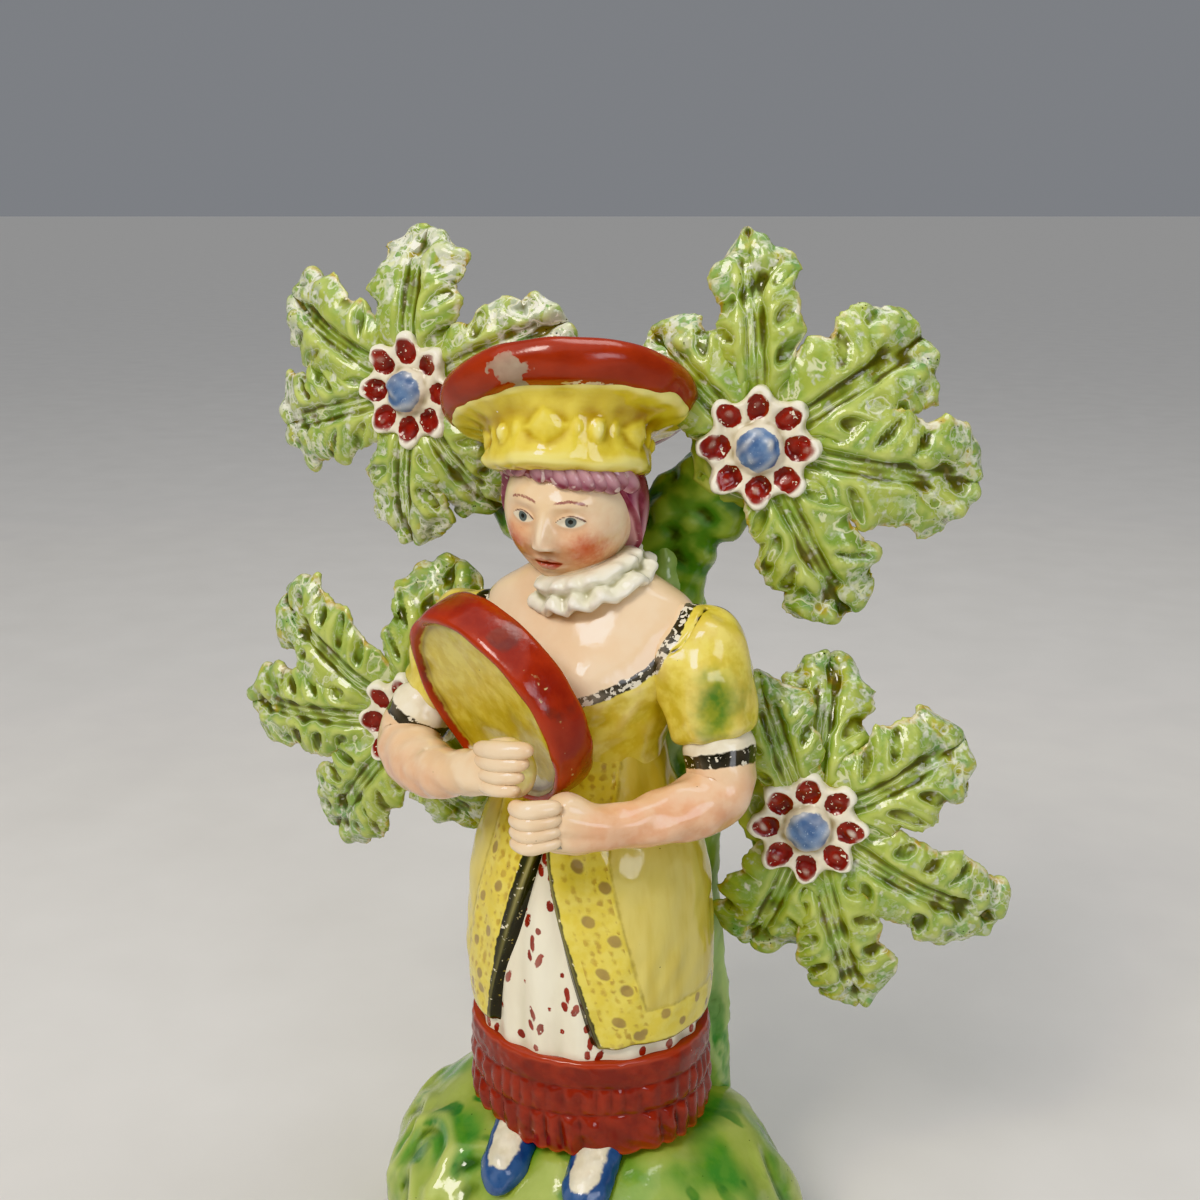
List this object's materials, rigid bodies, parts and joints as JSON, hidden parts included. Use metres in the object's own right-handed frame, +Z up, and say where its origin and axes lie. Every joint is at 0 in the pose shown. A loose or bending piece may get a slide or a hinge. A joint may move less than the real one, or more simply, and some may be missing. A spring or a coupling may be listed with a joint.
{
  "type": "earthenware figure with leafy tree support",
  "caption": "Glazed earthenware ornament of a standing woman with a tambourine before a flowering tree, on a rocky mound.",
  "frame": {"origin": "middle of the mound's flat underside", "axes": "+Z up, -Y to the figure's front, +X to the right of someone who faces it"},
  "size_m": [0.1336, 0.06, 0.1662],
  "materials": {
    "green_glaze": "glossy lead glaze over painted green",
    "yellow_glaze": "glossy lead glaze over painted yellow",
    "red_enamel": "satin red enamel, chipped",
    "cream_glaze": "glossy clear glaze over cream body",
    "flesh_glaze": "glossy glaze over flesh tint",
    "puce_glaze": "glossy glaze over puce hair",
    "blue_glaze": "glossy glaze over painted blue"
  },
  "bodies": {
    "root": {"figure": "green_glaze"}
  },
  "joints": []
}
